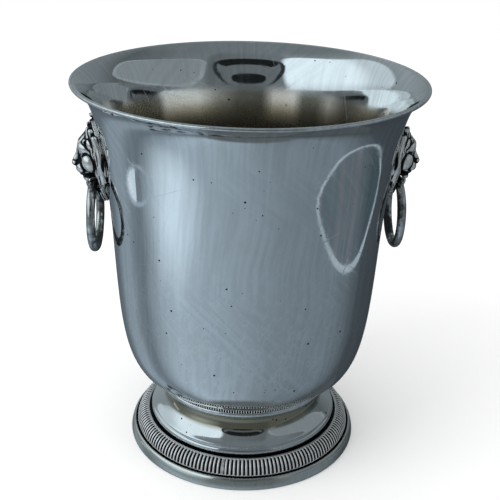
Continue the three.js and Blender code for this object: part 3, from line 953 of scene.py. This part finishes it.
def glowing(name, colour):
    """A material that only shines. colour is a value, or a function that makes it in the tree."""
    material = bpy.data.materials.new(name)
    tree = Tree(material)
    shown = colour(tree) if callable(colour) else colour
    light = tree.add("ShaderNodeEmission", {"Color": shown, "Strength": 1.0})
    out = tree.add("ShaderNodeOutputMaterial")
    tree.put(out.inputs["Surface"], light.outputs[0])
    return material


def add_card(name, start, end, rise_start, rise_end, material):
    """A flat card in the surroundings, which only the silver sees. It rises, or drops, from a line."""
    start, end = np.array(start, float), np.array(end, float)
    corners = [start, end, end + (0, 0, rise_end), start + (0, 0, rise_start)]
    card = make_object(name, corners, [(0, 1, 2, 3)])
    card.visible_camera = False
    card.visible_diffuse = False
    card.visible_shadow = False
    card.visible_transmission = False
    card.data.materials.append(material)


def curtain_cloth(tree):
    """Dim folds that darken with distance."""
    place = tree.add("ShaderNodeTexCoord").outputs["Object"]
    folds = tree.noise(tree.stretched(place, (26, 26, 2)), 1.0, 3.0)
    cloth = tree.blend(tree.step(folds, 0.38, 0.62), (0.105, 0.145, 0.17, 1), (0.15, 0.165, 0.195, 1))
    x = tree.add("ShaderNodeSeparateXYZ", {"Vector": place}).outputs[0]
    return tree.blend(tree.step(x, 0.36, 0.62), cloth, (0.055, 0.085, 0.10, 1))


def build_cards():
    """A curtain on the right over a bright edge and a lit ledge on the left, mirrored as two loops."""
    add_card("curtain", CURTAIN_NEAR, CURTAIN_FAR, 75, 330, glowing("curtain", curtain_cloth))
    edge = glowing("curtain_edge", (0.36, 0.44, 0.50, 1))
    add_card("curtain_edge", CURTAIN_NEAR, CURTAIN_FAR, -4, -16, edge)
    add_card("ledge", LEDGE_NEAR, LEDGE_FAR, -1.6, -5, glowing("ledge", (0.34, 0.42, 0.50, 1)))
    near, far = np.array(LEDGE_NEAR, float), np.array(LEDGE_FAR, float)
    paper = glowing("lit_paper", (0.66, 0.80, 0.90, 1))
    add_card("lit_paper", near + PAPER_START * (far - near), far, 30, 60, paper)
    add_glow()


def add_glow():
    """A soft pool of window light low on the left, seen only by the silver."""
    material = bpy.data.materials.new("glow")
    tree = Tree(material)
    place = tree.add("ShaderNodeTexCoord").outputs["Object"]
    x, y, z = tree.add("ShaderNodeSeparateXYZ", {"Vector": place}).outputs
    middle, across = Vector(GLOW_AT) * MM, Vector((GLOW_AT[1], -GLOW_AT[0], 0)).normalized()
    along = tree.sum("ADD", tree.sum("MULTIPLY", x, across.x), tree.sum("MULTIPLY", y, across.y))
    along = tree.sum("DIVIDE", tree.sum("SUBTRACT", along, middle.dot(across)), GLOW_HALF[0] * MM)
    level = tree.sum("DIVIDE", tree.sum("SUBTRACT", z, middle.z), GLOW_HALF[1] * MM)
    away = tree.sum("ADD", tree.sum("MULTIPLY", along, along), tree.sum("MULTIPLY", level, level))
    away = tree.sum("SQRT", away)
    light = tree.add("ShaderNodeEmission", {"Color": (0.64, 0.80, 0.92, 1), "Strength": 1.0})
    mixed = tree.add("ShaderNodeMixShader")
    tree.put(mixed.inputs[0], tree.sum("MULTIPLY", tree.sum("POWER", tree.step(away, 1.0, 0.0), 1.9), 0.9))
    tree.put(mixed.inputs[1], tree.add("ShaderNodeBsdfTransparent").outputs[0])
    tree.put(mixed.inputs[2], light.outputs[0])
    out = tree.add("ShaderNodeOutputMaterial")
    tree.put(out.inputs["Surface"], mixed.outputs[0])
    reach = np.array(across) * GLOW_HALF[0]
    low = np.array(GLOW_AT) - (0, 0, GLOW_HALF[1])
    add_card("glow", low - reach, low + reach, 2 * GLOW_HALF[1], 2 * GLOW_HALF[1], material)


def add_softbox(name, place, size, power):
    light = bpy.data.lights.new(name, "AREA")
    light.shape = "RECTANGLE"
    light.size, light.size_y = size
    light.energy = power
    lamp = bpy.data.objects.new(name, light)
    lamp.location = place
    lamp.rotation_euler = (Vector((0, 0, 0.12)) - Vector(place)).to_track_quat("-Z", "Y").to_euler()
    lamp.visible_camera = False
    lamp.visible_glossy = False
    bpy.context.scene.collection.objects.link(lamp)


def build_camera():
    """Stands a little above the rim, slightly round towards the left handle."""
    distance, height, lens = 530.3 * MM, 363.4 * MM, 67.2912
    swing, yaw, pitch, roll = (math.radians(a) for a in (5.5, 0.253, 24.045, 1.553))
    heading = yaw + swing
    reach = math.cos(pitch)
    forward = Vector((math.sin(heading) * reach, math.cos(heading) * reach, -math.sin(pitch)))
    level = forward.cross(Vector((0, 0, 1))).normalized()
    above = level.cross(forward)
    right = level * math.cos(roll) + above * math.sin(roll)
    top = above * math.cos(roll) - level * math.sin(roll)
    data = bpy.data.cameras.new("camera")
    data.lens = lens
    data.sensor_width = 36
    data.clip_start, data.clip_end = 0.01, 50
    camera = bpy.data.objects.new("camera", data)
    turn = Matrix((right, top, -forward)).transposed().to_4x4()
    place = Vector((-distance * math.sin(swing), -distance * math.cos(swing), height))
    camera.matrix_world = Matrix.Translation(place) @ turn
    bpy.context.scene.collection.objects.link(camera)
    bpy.context.scene.camera = camera


build_camera()
build_world()
build_floor()
build_cards()
add_softbox("key", (-0.9, -0.5, 1.1), (0.8, 0.8), 6)
add_softbox("fill", (0.9, -0.6, 0.9), (0.6, 0.6), 2)
bpy.context.scene.view_settings.view_transform = "Standard"

build_bowl()
build_rim()
build_collar()
build_neck_ring()
build_foot()
build_fillet()
build_gadroons()
build_base()
build_masks()
build_rings()
build_staples()
